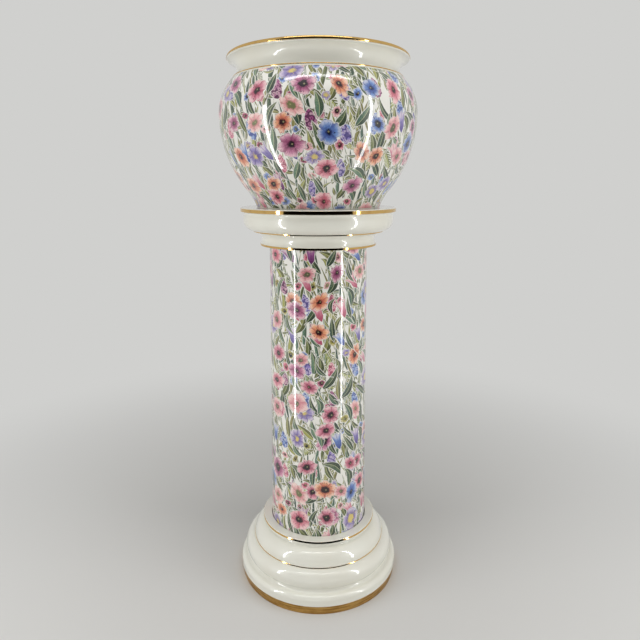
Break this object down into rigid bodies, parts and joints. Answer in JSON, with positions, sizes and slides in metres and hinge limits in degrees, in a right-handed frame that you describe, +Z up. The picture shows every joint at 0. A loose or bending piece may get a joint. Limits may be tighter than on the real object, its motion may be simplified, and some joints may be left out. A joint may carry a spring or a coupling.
{
  "type": "jardiniere on stand",
  "caption": "Round bulbous plant pot with a flared rim, standing loose on a tall hollow column with a moulded cap and a moulded round base, glazed, printed all over with flowers and gilt-lined.",
  "frame": {"origin": "on the floor, at the centre of the foot", "axes": "+Z up along the turning axis of every piece; +X and +Y are level, and -Y faces the viewer"},
  "size_m": [0.3269, 0.327, 0.914],
  "materials": {
    "pot_glaze": "gloss, printed with flowers",
    "column_glaze": "gloss, printed with flowers",
    "white_glaze": "gloss",
    "adhesive": "matt",
    "gilding": "mirror",
    "foot_gilding": "satin"
  },
  "bodies": {
    "stand": {"stand_base": "white_glaze", "stand_column": "column_glaze", "stand_cap": "white_glaze", "cap_joint_bed": "adhesive", "base_joint_bed": "adhesive", "cap_edge_gilding": "gilding", "cap_step_gilding": "gilding", "cap_foot_gilding": "gilding", "base_disc_gilding": "gilding", "base_ring_gilding": "gilding", "base_foot_gilding": "foot_gilding"},
    "pot": {"jardiniere_pot": "pot_glaze", "pot_rim_gilding": "gilding", "pot_neck_gilding": "gilding"}
  },
  "joints": [
    {"name": "pot_lift", "type": "slide", "parent": "stand", "child": "pot", "axis": [0, 0, 1], "range_m": [0, 0.3]}
  ]
}
